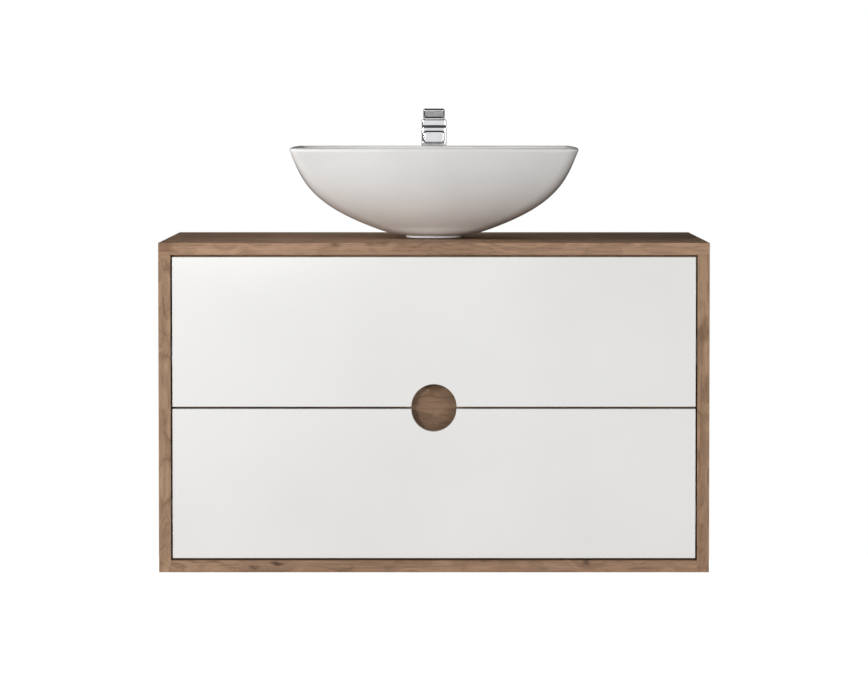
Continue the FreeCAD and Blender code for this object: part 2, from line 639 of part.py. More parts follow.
def make_tap_body():
    """Square column with its cartridge pocket and waterways, and the spout brazed to its front."""
    front = TAP_Y - TAP_HALF
    column = rounded_bar(TAP_HALF, (front, TAP_Y + TAP_HALF), (TAP_BASE, TAP_TOP), TAP_CORNER, V(0, 0, 1))
    pocket = upright(POCKET_R, 0, TAP_Y, (POCKET_Z, TAP_TOP))
    stud_hole = upright(STUD_R, 0, STUD_Y, (TAP_BASE, TAP_BASE + STUD_DEEP))
    spout_way = rod(TAP_WAY_R, (0, TAP_Y, TAP_WAY_Z), (0, AERATOR_Y, TAP_WAY_Z))
    inlets = both_sides([upright(INLET_R, INLET_X, INLET_Y, (TAP_BASE, TAP_BASE + INLET_DEPTH)),
                         upright(WATERWAY_R, INLET_X, INLET_Y, (TAP_BASE + INLET_DEPTH, POCKET_Z))])

    spout = rounded_bar(SPOUT_HALF, (SPOUT_TIP_Y, front), SPOUT_Z, SPOUT_CORNER, V(0, 1, 0))
    spout = spout.makeFillet(SPOUT_NOSE, [e for e in spout.Edges if e.BoundBox.YMax < SPOUT_TIP_Y + 1])
    aerator_top = SPOUT_Z[0] + AERATOR_DEEP
    outlet = [upright(TAP_WAY_R, 0, AERATOR_Y, (aerator_top, TAP_WAY_Z)),
              upright(AERATOR_R, 0, AERATOR_Y, (SPOUT_Z[0], aerator_top))]
    save("tap_body", column.cut([pocket, stud_hole, spout_way] + inlets), spout.cut([spout_way] + outlet))

    turns = [math.radians(60 * i) for i in range(6)]
    holes = [upright(AERATOR_HOLE_R, AERATOR_HOLES_R * math.cos(turn),
                     AERATOR_Y + AERATOR_HOLES_R * math.sin(turn), (SPOUT_Z[0], aerator_top))
             for turn in turns]
    mouth = SPOUT_Z[0] + AERATOR_RECESS
    insert = upright(AERATOR_R, 0, AERATOR_Y, (mouth, aerator_top))
    throat = upright(AERATOR_HOLES_R + 4, 0, AERATOR_Y, (mouth, mouth + AERATOR_THROAT))
    save("tap_aerator", insert.cut([throat] + holes))


def make_tap_fixing():
    """Base seal above the worktop; below it a stud, a seal, a plate and a nut."""
    save("tap_base_seal", square_ring(TAP_HALF - 1, CLAMP_R - 6, (HEIGHT, TAP_BASE)))
    save("tap_stud", upright(STUD_R, 0, STUD_Y, (STUD_LOW, TAP_BASE + STUD_DEEP)))
    seal_low = UNDER_TOP - CLAMP_SEAL_T
    plate_low = seal_low - CLAMP_PLATE_T
    nut_low = plate_low - STUD_NUT_T
    for node, z in (("tap_clamp_seal", (seal_low, UNDER_TOP)), ("tap_clamp_plate", (plate_low, seal_low))):
        mouth = block((-CLAMP_MOUTH, CLAMP_MOUTH), (TAP_Y - CLAMP_R, TAP_Y + 2), z)
        save(node, upright(CLAMP_R, 0, TAP_Y, z).cut([mouth, upright(STUD_R, 0, STUD_Y, z)]))
    nut = hex_prism(STUD_NUT_FLATS, (0, STUD_Y, nut_low), (0, STUD_Y, plate_low))
    save("tap_stud_nut", nut.cut(upright(STUD_R, 0, STUD_Y, (nut_low, plate_low))))


def make_cartridge():
    """Cartridge, the nut that holds it, and the yoke that turns in it and carries the lever's stem."""
    body = upright(CARTRIDGE_R, 0, TAP_Y, (POCKET_Z + 1, CARTRIDGE_TOP))
    save("cartridge_body", body.cut(upright(YOKE_R + 0.1, 0, TAP_Y, (YOKE_Z[0] - 0.3, CARTRIDGE_TOP))))
    save("cartridge_nut", upright_ring(POCKET_R, 11, TAP_Y, (CARTRIDGE_TOP, TAP_TOP)))
    save("spacer_ring", square_ring(TAP_HALF - 0.5, 12, SPACER_Z))

    slot = block((-STEM_X - 0.2, STEM_X + 0.2), (TAP_Y - YOKE_R, TAP_Y + YOKE_R), (STEM_LOW - 3, YOKE_Z[1]))
    pin_hole = rod(PIN_R, (-YOKE_R, TAP_Y, PIVOT_Z), (YOKE_R, TAP_Y, PIVOT_Z))
    save("cartridge_yoke", upright(YOKE_R, 0, TAP_Y, YOKE_Z).cut([slot, pin_hole]))
    save("yoke_pin", rod(PIN_R, (-YOKE_R + 0.4, TAP_Y, PIVOT_Z), (YOKE_R - 0.4, TAP_Y, PIVOT_Z)))


def make_handle():
    """Square handle block and its rising lever; the underside is cut back so that it can tilt."""
    front = TAP_Y - TAP_HALF
    rear = TAP_Y + TAP_HALF
    cut_back = TAP_HALF * math.tan(math.radians(LIFT_ANGLE))
    stem_y = (TAP_Y - STEM_Y, TAP_Y + STEM_Y)
    pocket_top = PIVOT_Z + 7.5
    foot = rounded_bar(TAP_HALF, (front, rear), HANDLE_Z, TAP_CORNER, V(0, 0, 1))
    foot = foot.makeFillet(HANDLE_EDGE, [e for e in foot.Edges if e.BoundBox.ZMin > HANDLE_Z[1] - 1])
    side_view = [V(-LEVER_HALF, rear - 1, HANDLE_Z[1] - 1), V(-LEVER_HALF, front + 9, HANDLE_Z[1] - 1),
                 V(-LEVER_HALF, LEVER_TIP_Y + 2, LEVER_TOP_Z - LEVER_NOSE),
                 V(-LEVER_HALF, LEVER_TIP_Y, LEVER_TOP_Z), V(-LEVER_HALF, rear - 1, LEVER_HEEL_Z)]
    blade = Part.Face(Part.makePolygon(side_view + side_view[:1])).extrude(V(2 * LEVER_HALF, 0, 0))
    blade = blade.makeFillet(LEVER_EDGE, [e for e in blade.Edges if e.BoundBox.YMin < LEVER_TIP_Y + 3])
    relief = Part.Face(Part.makePolygon([V(-TAP_HALF, TAP_Y, HANDLE_Z[0]), V(-TAP_HALF, rear, HANDLE_Z[0]),
                                         V(-TAP_HALF, rear, HANDLE_Z[0] + cut_back),
                                         V(-TAP_HALF, TAP_Y, HANDLE_Z[0])])).extrude(V(2 * TAP_HALF, 0, 0))
    grub_y = (stem_y[1], rear)
    hollows = [relief, upright(14, 0, TAP_Y, (HANDLE_Z[0], pocket_top)),
               block((-STEM_X, STEM_X), stem_y, (pocket_top, STEM_TOP)),
               rod(GRUB_R, (0, grub_y[0], GRUB_Z), (0, grub_y[1], GRUB_Z))]
    save("tap_lever", foot.fuse(blade).cut(hollows))
    stem = block((-STEM_X, STEM_X), stem_y, (STEM_LOW, STEM_TOP))
    save("tap_stem", stem.cut(rod(PIN_R + 0.05, (-STEM_X, TAP_Y, PIVOT_Z), (STEM_X, TAP_Y, PIVOT_Z))))
    save("grub_screw", rod(GRUB_R, (0, grub_y[0], GRUB_Z), (0, grub_y[0] + GRUB_LENGTH, GRUB_Z)))
    save("grub_screw_cap", rod(GRUB_R, (0, rear - 4, GRUB_Z), (0, rear - 1, GRUB_Z)))


os.makedirs("parts", exist_ok=True)
rail_screws, rail_bores, upper_screws, upper_bores = make_runners("upper", UPPER_RUNNER_Z)
more_rail_screws, more_rail_bores, lower_screws, lower_bores = make_runners("lower", LOWER_RUNNER_Z)
save("runner_screws", *both_sides(rail_screws + more_rail_screws))
make_cabinet(rail_bores + more_rail_bores)
make_hangers()
make_upper_drawer(upper_screws, upper_bores)
make_lower_drawer(lower_screws, lower_bores)
make_basin()
make_waste()
make_trap()
make_tap_body()
make_tap_fixing()
make_cartridge()
make_handle()
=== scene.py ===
import json
import math

import bmesh
import bpy
from mathutils import Matrix, Vector


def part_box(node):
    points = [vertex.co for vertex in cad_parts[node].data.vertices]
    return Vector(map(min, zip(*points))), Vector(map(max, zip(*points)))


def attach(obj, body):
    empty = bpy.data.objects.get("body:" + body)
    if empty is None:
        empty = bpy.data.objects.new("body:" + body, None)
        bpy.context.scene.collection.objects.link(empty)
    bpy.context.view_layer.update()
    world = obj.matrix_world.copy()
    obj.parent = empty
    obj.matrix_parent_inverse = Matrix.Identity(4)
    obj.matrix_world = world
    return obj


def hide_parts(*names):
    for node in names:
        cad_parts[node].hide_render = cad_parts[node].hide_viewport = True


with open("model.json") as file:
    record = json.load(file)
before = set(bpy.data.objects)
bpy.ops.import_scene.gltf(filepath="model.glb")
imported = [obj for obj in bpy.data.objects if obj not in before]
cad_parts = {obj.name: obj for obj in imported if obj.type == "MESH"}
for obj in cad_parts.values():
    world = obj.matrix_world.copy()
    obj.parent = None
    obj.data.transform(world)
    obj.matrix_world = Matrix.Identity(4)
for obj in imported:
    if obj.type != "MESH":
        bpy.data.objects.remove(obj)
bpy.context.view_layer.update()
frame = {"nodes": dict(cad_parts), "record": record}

# A wall-hung vanity: wood-decor cabinet, two white drawer fronts around a round grip hole,
# a glazed vessel basin and a square lever tap. Metres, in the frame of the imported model.

NODES = frame["nodes"]
MM = 0.001


def low(node):
    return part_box(node)[0]


def high(node):
    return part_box(node)[1]


# ------------------------------------------------------------------ places read from the frame

TOP_Z = high("worktop").z
FRONT_Y = low("worktop").y
BASIN_LOW, BASIN_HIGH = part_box("basin")
BASIN_CENTRE = (BASIN_LOW + BASIN_HIGH) / 2
TRAP_Z = (low("trap_outlet_pipe").z + high("trap_outlet_pipe").z) / 2
TUBE_R = high("trap_outlet_pipe").x


# ------------------------------------------------------------------ node graph helper

class Graph:
    """Short calls that add shader nodes and link them."""

    def __init__(self, name):
        self.material = bpy.data.materials.new(name)
        self.material.use_nodes = True
        self.tree = self.material.node_tree
        self.shader = self.tree.nodes["Principled BSDF"]
        self.place = self.node("ShaderNodeTexCoord").outputs["Object"]

    def node(self, kind, **settings):
        made = self.tree.nodes.new(kind)
        for key, value in settings.items():
            setattr(made, key, value)
        return made

    def put(self, socket, value):
        if isinstance(value, bpy.types.NodeSocket):
            self.tree.links.new(value, socket)
        else:
            socket.default_value = value

    def stretched(self, scale, offset=(0, 0, 0)):
        made = self.node("ShaderNodeMapping")
        self.put(made.inputs["Vector"], self.place)
        made.inputs["Scale"].default_value = scale
        made.inputs["Location"].default_value = offset
        return made.outputs["Vector"]

    def noise(self, where, scale=1.0, detail=2.0, rough=0.5, twist=0.0):
        made = self.node("ShaderNodeTexNoise")
        self.put(made.inputs["Vector"], where)
        made.inputs["Scale"].default_value = scale
        made.inputs["Detail"].default_value = detail
        made.inputs["Roughness"].default_value = rough
        made.inputs["Distortion"].default_value = twist
        return made.outputs["Fac"]

    def distance(self, spot, scale):
        """Distance from a point, stretched by a scale on each axis."""
        offset = [-place * stretch for place, stretch in zip(spot, scale)]
        made = self.node("ShaderNodeVectorMath", operation="LENGTH")
        self.put(made.inputs[0], self.stretched(scale, offset))
        return made.outputs["Value"]

    def cells(self, where):
        """Distance from the nearest of many scattered points."""
        made = self.node("ShaderNodeTexVoronoi")
        self.put(made.inputs["Vector"], where)
        made.inputs["Scale"].default_value = 1.0
        return made.outputs["Distance"]

    def math(self, operation, a, b):
        made = self.node("ShaderNodeMath", operation=operation)
        self.put(made.inputs[0], a)
        self.put(made.inputs[1], b)
        return made.outputs[0]

    def add(self, where, amount):
        """Vector plus a vector, or plus a value on every axis."""
        made = self.node("ShaderNodeVectorMath", operation="ADD")
        self.put(made.inputs[0], where)
        self.put(made.inputs[1], amount)
        return made.outputs[0]

    def span(self, value, low_in, high_in, low_out=0.0, high_out=1.0):
        made = self.node("ShaderNodeMapRange")
        self.put(made.inputs["Value"], value)
        made.inputs["From Min"].default_value = low_in
        made.inputs["From Max"].default_value = high_in
        made.inputs["To Min"].default_value = low_out
        made.inputs["To Max"].default_value = high_out
        return made.outputs["Result"]

    def ramp(self, value, stops):
        made = self.node("ShaderNodeValToRGB")
        self.put(made.inputs["Fac"], value)
        points = made.color_ramp.elements
        while len(points) < len(stops):
            points.new(0.5)
        for point, (where, colour) in zip(points, stops):
            point.position = where
            point.color = (*colour, 1.0)
        return made.outputs["Color"]

    def mix(self, share, a, b, blend="MIX"):
        made = self.node("ShaderNodeMix", data_type="RGBA", blend_type=blend)
        self.put(made.inputs[0], share)
        self.put(made.inputs[6], a)
        self.put(made.inputs[7], b)
        return made.outputs[2]

    def bump(self, height, distance, strength=1.0):
        made = self.node("ShaderNodeBump")
        self.put(made.inputs["Height"], height)
        made.inputs["Distance"].default_value = distance
        made.inputs["Strength"].default_value = strength
        self.put(self.shader.inputs["Normal"], made.outputs["Normal"])

    def set(self, **values):
        for key, value in values.items():
            self.put(self.shader.inputs[key.replace("_", " ")], value)
        return self.material


def rgb(red, green, blue):
    return (red, green, blue, 1.0)


def dimmed(colour, share):
    return tuple(c * share for c in colour)


# ------------------------------------------------------------------ materials

KNOT_STRETCH = (9.0, 3.0, 17.0)


def wood_decor(name, grain, colours, shift, knots=True, knot_spots=()):
    """Foil with the look of oak: growth bands, fibres, pores and knots along one axis.

    The colours run from light to dark, with the heart of a knot last."""
    g = Graph(name)

    def along(grain_scale, cross_scale, offset=0.0):
        scale = [cross_scale] * 3
        scale["XYZ".index(grain)] = grain_scale
        return g.stretched(scale, (shift + offset, shift * 2 + offset, shift * 3))

    waviness = g.noise(along(3.4, 9.0), detail=3.0)
    drift = g.span(waviness, 0.3, 0.7, -1.5, 1.5)
    ripple = g.noise(along(13.0, 12.0, 1.3), detail=2.0)
    drift = g.math("ADD", drift, g.span(ripple, 0.3, 0.7, -0.45, 0.45))
    knot_field = g.cells(along(1.75, 5.5, 0.37))
    ragged = g.span(g.noise(along(40.0, 130.0), detail=3.0), 0.3, 0.7, -0.05, 0.07)
    for spot in knot_spots:
        knot_field = g.math("MINIMUM", knot_field, g.distance(spot, KNOT_STRETCH))
    knot_field = g.math("ADD", knot_field, ragged)
    near_knot = g.span(knot_field, 0.05, 0.34, 1.0, 0.0)
    pull = g.math("MULTIPLY", near_knot, 1.6)
    phase = g.math("ADD", drift, pull)
    band_place = g.add(along(0.9, 40.0), phase)
    bands = g.noise(band_place, detail=4.0, rough=0.6)
    fine_place = g.add(along(4.5, 230.0), phase)
    fibres = g.noise(fine_place, detail=4.0, rough=0.65)
    pores = g.noise(along(30.0, 1500.0), detail=1.0)
    tone = g.noise(along(1.1, 5.0, 4.2), detail=1.0)

    light, middle, dark, knot_tone = colours
    base = g.ramp(bands, [(0.30, dark), (0.46, middle), (0.62, light)])
    fibre_tint = g.ramp(fibres, [(0.30, (0.62, 0.60, 0.58)), (0.50, (0.98, 0.98, 0.98)),
                                 (0.72, (1.12, 1.10, 1.07))])
    base = g.mix(0.75, base, fibre_tint, "MULTIPLY")
    tone_tint = g.ramp(tone, [(0.30, (0.84, 0.80, 0.79)), (0.50, (1.04, 0.99, 0.97)),
                              (0.70, (1.08, 1.09, 1.02))])
    base = g.mix(0.9, base, tone_tint, "MULTIPLY")
    pore_mask = g.span(pores, 0.60, 0.72)
    base = g.mix(g.math("MULTIPLY", pore_mask, 0.45), base, rgb(*dimmed(dark, 0.42)))
    if knots:
        heart = g.span(knot_field, 0.035, 0.10, 1.0, 0.0)
        halo = g.span(knot_field, 0.06, 0.32, 0.60, 0.0)
        base = g.mix(halo, base, rgb(*dark))
        base = g.mix(g.math("MULTIPLY", heart, 0.70), base, rgb(*knot_tone))
    rough = g.span(fibres, 0.3, 0.7, 0.60, 0.72)
    relief = g.math("SUBTRACT", g.math("MULTIPLY", fibres, 0.5), g.math("MULTIPLY", pore_mask, 0.6))
    g.bump(relief, 0.00025, 0.6)
    return g.set(Base_Color=base, Roughness=rough, Specular_IOR_Level=0.12)


def lacquer(name):
    """Satin white lacquer: nearly flat, with a trace of orange peel and rolling tone."""
    g = Graph(name)
    tone = g.noise(g.stretched((3.0, 3.0, 3.0)), detail=3.0)
    fleck = g.noise(g.stretched((260.0, 260.0, 260.0)), detail=2.0)
    base = g.ramp(tone, [(0.35, (0.800, 0.792, 0.772)), (0.65, (0.842, 0.834, 0.816))])
    base = g.mix(g.span(fleck, 0.42, 0.70, 0.0, 0.10), base, rgb(0.76, 0.75, 0.73))
    peel = g.noise(g.stretched((420.0, 420.0, 420.0)), detail=1.5)
    g.bump(peel, 0.00008, 0.35)
    rough = g.span(tone, 0.3, 0.7, 0.33, 0.42)
    return g.set(Base_Color=base, Roughness=rough, Coat_Weight=0.15, Coat_Roughness=0.25)


def glaze(name):
    """White sanitary glaze: glassy, very slightly wavy, with faint specks."""
    g = Graph(name)
    waves = g.noise(g.stretched((16.0, 16.0, 16.0)), detail=1.0)
    cloud = g.noise(g.stretched((7.0, 7.0, 7.0)), detail=2.0)
    speck = g.noise(g.stretched((900.0, 900.0, 900.0)), detail=0.0)
    base = g.ramp(cloud, [(0.35, (0.715, 0.704, 0.690)), (0.65, (0.755, 0.744, 0.732))])
    base = g.mix(g.span(speck, 0.70, 0.80, 0.0, 0.25), base, rgb(0.66, 0.64, 0.60))
    g.bump(waves, 0.0012, 0.30)
    rough = g.span(cloud, 0.3, 0.7, 0.20, 0.27)
    return g.set(Base_Color=base, Roughness=rough, IOR=1.52, Coat_Weight=0.35, Coat_Roughness=0.12)


def polished(name, colour, smooth, dull, marks=0.00002):
    """Plated or turned metal with faint wiping marks of a given depth."""
    g = Graph(name)
    smear = g.noise(g.stretched((30.0, 30.0, 80.0)), detail=3.0, rough=0.6)
    tint = g.noise(g.stretched((60.0, 60.0, 60.0)), detail=1.0)
    base = g.ramp(tint, [(0.3, dimmed(colour, 0.94)), (0.7, colour)])
    fine = g.noise(g.stretched((500.0, 500.0, 60.0)), detail=1.0)
    g.bump(fine, marks, 0.12)
    rough = g.span(smear, 0.35, 0.75, smooth, dull)
    return g.set(Base_Color=base, Roughness=rough, Metallic=1.0)


def zinc(name, colour, brush):
    """Zinc-plated steel: soft spangle and rolling lines along the sheet."""
    g = Graph(name)
    spangle = g.cells(g.stretched((240.0, 240.0, 240.0)))
    lines = g.noise(g.stretched(brush), detail=3.0, rough=0.7)
    base = g.ramp(spangle, [(0.1, dimmed(colour, 0.86)), (0.7, colour)])
    line_tint = g.ramp(lines, [(0.3, (0.72, 0.73, 0.75)), (0.7, (1.0, 1.0, 1.0))])
    base = g.mix(0.5, base, line_tint, "MULTIPLY")
    g.bump(lines, 0.00006, 0.5)
    rough = g.span(lines, 0.3, 0.7, 0.26, 0.44)
    return g.set(Base_Color=base, Roughness=rough, Metallic=1.0)


def moulded(name, colour, roughness, grain=900.0):
    """Moulded plastic or rubber with a spark-eroded grain."""
    g = Graph(name)
    cloud = g.noise(g.stretched((25.0, 25.0, 25.0)), detail=3.0)
    texture = g.noise(g.stretched((grain, grain, grain)), detail=2.0, rough=0.7)
    base = g.ramp(cloud, [(0.3, dimmed(colour, 0.90)), (0.7, colour)])
    g.bump(texture, 0.00006, 0.7)
    rough = g.span(texture, 0.3, 0.7, roughness - 0.05, roughness + 0.08)
    return g.set(Base_Color=base, Roughness=rough)


def melamine(name):
    """Pale grey drawer board with a woven print."""
    g = Graph(name)
    warp = g.noise(g.stretched((40.0, 1100.0, 1100.0)), detail=2.0)
    weft = g.noise(g.stretched((1100.0, 40.0, 40.0)), detail=2.0)
    weave = g.math("MULTIPLY", warp, weft)
    cloud = g.noise(g.stretched((6.0, 6.0, 6.0)), detail=2.0)
    base = g.ramp(weave, [(0.14, (0.40, 0.39, 0.37)), (0.36, (0.60, 0.59, 0.56))])
    cloud_tint = g.ramp(cloud, [(0.3, (0.90, 0.90, 0.90)), (0.7, (1.04, 1.04, 1.03))])
    base = g.mix(0.6, base, cloud_tint, "MULTIPLY")
    g.bump(weave, 0.00012, 0.5)
    return g.set(Base_Color=base, Roughness=g.span(weave, 0.1, 0.4, 0.55, 0.45))


OAK = ((0.430, 0.285, 0.190), (0.345, 0.222, 0.143), (0.215, 0.132, 0.083), (0.045, 0.025, 0.016))
CARCASS_OAK = [dimmed(tone, 0.9) for tone in OAK]
# Grip rail oak, darkened as painted shade: it stands in for the dim recess behind the fronts, seen through
# the grip hole and the gaps.
GRIP_OAK_PAINTED_SHADE = [dimmed(tone, 0.74) for tone in OAK]
BEECH = ((0.66, 0.50, 0.34), (0.58, 0.42, 0.27), (0.46, 0.32, 0.20), (0.20, 0.12, 0.07))

# Knots on the front edge of the bottom panel
BOTTOM_KNOTS = ((-0.325, FRONT_Y, 0.008), (-0.285, FRONT_Y, 0.016), (0.278, FRONT_Y, 0.020))

MATERIALS = {
    "oak_x": wood_decor("oak_along_x", "X", OAK, 0.31),
    "oak_x_rail": wood_decor("oak_along_x_rail", "X", OAK, 1.77, knot_spots=BOTTOM_KNOTS),
    # Same oak as the boards, darkened as painted shade for the grip rail's recess.
    "oak_painted_shade_grip": wood_decor("oak_painted_shade_grip_rail", "X", GRIP_OAK_PAINTED_SHADE, 5.3),
    "oak_z": wood_decor("oak_along_z", "Z", OAK, 2.63),
    "carcass_board": wood_decor("carcass_board_x", "X", CARCASS_OAK, 4.1),
    "dowel_wood": wood_decor("beech_dowel", "X", BEECH, 0.9, knots=False),
    "white_lacquer": lacquer("white_lacquer"),
    "drawer_board": melamine("drawer_board"),
    "ceramic": glaze("ceramic_glaze"),
    "chrome": polished("chrome_plate", (0.82, 0.83, 0.85), 0.035, 0.10),
    "brass": polished("turned_brass", (0.72, 0.54, 0.27), 0.16, 0.30, 0.00008),
    "zinc_steel": zinc("zinc_plate", (0.66, 0.67, 0.69), (60.0, 700.0, 700.0)),
    "runner_steel": zinc("runner_sheet", (0.58, 0.59, 0.61), (900.0, 14.0, 900.0)),
    "rubber": moulded("seal_rubber", (0.030, 0.030, 0.031), 0.72, 700.0),
    "white_plastic": moulded("white_plastic", (0.80, 0.80, 0.785), 0.38),
    "grey_plastic": moulded("grey_plastic", (0.32, 0.33, 0.35), 0.45),
    "black_plastic": moulded("black_plastic", (0.012, 0.012, 0.013), 0.50),
    "bearing_steel": polished("bearing_steel", (0.74, 0.75, 0.77), 0.08, 0.18),
}
GRAIN_OF_NODE = {
    "worktop": "oak_x",
    "front_rail": "carcass_board",
    "bottom_panel": "oak_x_rail",
    "grip_rail": "oak_painted_shade_grip",
    "side_panel_left": "oak_z",
    "side_panel_right": "oak_z",
}
SLOT_OF_NODE = {part["node"]: part["material_slot"] for part in frame["record"]["subparts"]}


def dress_cad_nodes():
    """Every CAD node takes the material of its slot; wood follows its own board's grain."""
    for name, node in NODES.items():
        material = MATERIALS[GRAIN_OF_NODE.get(name, SLOT_OF_NODE[name])]
        for slot in node.material_slots:
            slot.link = "OBJECT"
            slot.material = material


def soften_edges(name, width, segments=2):
    """Small rounding on a CAD node's sharp edges, as a modifier."""
    node = NODES[name]
    weld = node.modifiers.new("weld", "WELD")
    weld.merge_threshold = 0.00001
    bevel = node.modifiers.new("edge", "BEVEL")
    bevel.width = width
    bevel.segments = segments
    bevel.limit_method = "ANGLE"
    bevel.angle_limit = math.radians(40)
    bevel.use_clamp_overlap = False
    bevel.harden_normals = False
    node.modifiers.new("shade", "WEIGHTED_NORMAL").keep_sharp = True


# ------------------------------------------------------------------ mesh helpers

def piece(name, mesh, material, body, replaced=(), smooth_angle=35):
    """A finished piece: its shading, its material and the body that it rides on."""
    obj = bpy.data.objects.new(name, mesh)
    bpy.context.scene.collection.objects.link(obj)
    mesh.materials.append(MATERIALS[material])
    for face in mesh.polygons:
        face.use_smooth = True
    mesh.set_sharp_from_angle(angle=math.radians(smooth_angle))
    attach(obj, body)
    if replaced:
        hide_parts(*replaced)
    return obj


def mesh_from(name, points, faces):
    mesh = bpy.data.meshes.new(name)
    mesh.from_pydata([tuple(p) for p in points], [], faces)
    build = bmesh.new()
    build.from_mesh(mesh)
    bmesh.ops.recalc_face_normals(build, faces=build.faces)
    build.to_mesh(mesh)
    build.free()
    mesh.validate()
    return mesh


def ring_faces(rows, columns):
    """Quads between rows of points; the last row joins the first, and each row is a loop."""
    faces = []
    for i in range(rows):
        j = (i + 1) % rows
        for k in range(columns):
            m = (k + 1) % columns
            faces.append([i * columns + k, i * columns + m, j * columns + m, j * columns + k])
    return faces


def lathe(name, profile, place, columns, ribs=0, rib_depth=0.0):
    """Closed ring turned from (radius, height, ribbed) points; ribs are scallops on marked points."""
    points = []
    for radius, height, ribbed in profile:
        for k in range(columns):
            turn = 2 * math.pi * k / columns
            scallop = rib_depth * max(0.0, math.cos(ribs * turn)) if ribbed else 0.0
            r = radius - scallop
            points.append(place @ Vector((r * math.cos(turn), r * math.sin(turn), height)))
    return mesh_from(name, points, ring_faces(len(profile), columns))


def joined(name, meshes):
    """One mesh out of several."""
    build = bmesh.new()
    for mesh in meshes:
        build.from_mesh(mesh)
        bpy.data.meshes.remove(mesh)
    out = bpy.data.meshes.new(name)
    build.to_mesh(out)
    build.free()
    return out


# ------------------------------------------------------------------ basin

BASIN_A = (BASIN_HIGH.x - BASIN_LOW.x) / 2
BASIN_B = (BASIN_HIGH.y - BASIN_LOW.y) / 2
RIM_WALL = 9 * MM
HULL_BASE = 0.36
HULL_TAPER = 0.19
HULL_POWER = 3.2
BASE_CORNER = 58 * MM
RIM_CORNER = 18 * MM
BASE_BOW = 0.26
RIM_BOW = 0.03
FOOT_R = 52.5 * MM
FOOT_RECESS_R = 40 * MM
DRAIN_R = 22.5 * MM
DRAIN_SEAT_R = 33 * MM
SEAT_DEPTH = 2.5 * MM
FOOT_ROOF = 5 * MM
SKIN_START = TOP_Z + 6 * MM
HULL_START = TOP_Z + 14 * MM
BOWL_START = TOP_Z + 22 * MM
BOWL_FLOOR = TOP_Z + 21.3 * MM
SKIN_ROWS = 44
RIM_STEPS = 10
HALVINGS = 40
LONG_STEPS = 26
SHORT_STEPS = 18
CORNER_STEPS = 14


def bowed_outline(a, b, corner, bow_x, bow_y):
    """Points round four shallow arcs joined by tangent corner arcs, the same count each time."""
    long_r = a * a / (2 * bow_y)
    short_r = b * b / (2 * bow_x)
    long_c = Vector((0, b - long_r))
    short_c = Vector((a - short_r, 0))
    reach_1 = long_r - corner
    reach_2 = short_r - corner
    apart = short_c - long_c
    along = (reach_1 ** 2 - reach_2 ** 2 + apart.length_squared) / (2 * apart.length)
    across = math.sqrt(reach_1 ** 2 - along ** 2)
    unit = apart.normalized()
    side = Vector((-unit.y, unit.x))
    centre = max((long_c + unit * along + side * across * s for s in (1, -1)), key=lambda p: p.x)
    from_short = math.atan2((centre - short_c).y, (centre - short_c).x)
    from_long = math.atan2((centre - long_c).y, (centre - long_c).x)

    def arc(middle, radius, start, end, steps):
        return [middle + Vector((math.cos(t), math.sin(t))) * radius
                for t in [start + (end - start) * i / steps for i in range(steps)]]

    def turned(points, sx, sy):
        return [Vector((p.x * sx, p.y * sy)) for p in points]

    half_short = arc(short_c, short_r, 0, from_short, SHORT_STEPS // 2)
    bend = arc(centre, corner, from_short, from_long, CORNER_STEPS)
    half_long = arc(long_c, long_r, from_long, math.pi / 2, LONG_STEPS // 2)
    quarter = half_short + bend + half_long
    upper = quarter + [Vector((0, b))] + turned(quarter[1:], -1, 1)[::-1]
    return upper + [Vector((-a, 0))] + turned(upper[1:], -1, -1)


def hull_depth(a):
    """Half depth of the hull where its half width is a."""
    return FOOT_R + (a - FOOT_R) * (BASIN_B - FOOT_R) / (BASIN_A - FOOT_R)


def section(a, t, inset):
    """Outline of the bowl where its outer half width is a, at a share t of its height."""
    root = math.sqrt(min(1.0, max(t, BLEND_SHARE)))
    b = hull_depth(a)
    corner = BASE_CORNER + (RIM_CORNER - BASE_CORNER) * root
    bow = BASE_BOW + (RIM_BOW - BASE_BOW) * root
    limit = 0.62 * min(a, b)
    return bowed_outline(a - inset, b - inset, min(corner, limit) - inset, bow * b, bow * a)


def share_at(a):
    """Share of the height at which the outer half width is a, found by halving."""
    under, over = 0.0, 1.0
    for _ in range(HALVINGS):
        t = (under + over) / 2
        down = 1 - t
        if BASIN_A * (1 - HULL_TAPER * down - (1 - HULL_BASE - HULL_TAPER) * down ** HULL_POWER) < a:
            under = t
        else:
            over = t
    return over


BLEND_A = 125 * MM
BLEND_SHARE = share_at(BLEND_A)


def rise(a, start_a, start_z, low_z, high_z, inset):
    """Height of the shell at half width a: the hull's curve, eased out flat towards the middle."""
    def curve(x):
        return low_z + (high_z - low_z) * share_at(x + inset)
    if a >= BLEND_A:
        return curve(a)
    step = 0.5 * MM
    slope = (curve(BLEND_A + step) - curve(BLEND_A)) / step
    width = BLEND_A - start_a
    s = (a - start_a) / width
    ease = 3 * s * s - 2 * s ** 3
    settle = s ** 3 - s * s
    return start_z + (curve(BLEND_A) - start_z) * ease + width * slope * settle


def shell_rows(start_a, start_z, low_z, high_z, inset):
    """Rows of one skin, from a small circle out to the rim, closer together at the rim."""
    whole = BASIN_A - inset
    rows = []
    for i in range(SKIN_ROWS + 1):
        s = i / SKIN_ROWS
        a = start_a + (whole - start_a) * (1 - (1 - s) ** 1.35)
        z = rise(a, start_a, start_z, low_z, high_z, inset)
        t = (z - low_z) / (high_z - low_z)
        outline = section(a + inset, max(0.0, min(1.0, t)), inset)
        weight = min(1.0, max(0.0, (a - start_a) / (BLEND_A - start_a)))
        weight = weight * weight * (3 - 2 * weight)
        b = hull_depth(a + inset) - inset
        row = []
        for p in outline:
            turn = math.atan2(p.y / b, p.x / a)
            disc = Vector((math.cos(turn), math.sin(turn))) * a
            q = disc.lerp(p, weight)
            row.append(Vector((q.x, q.y, z)))
        rows.append(row)
    return rows


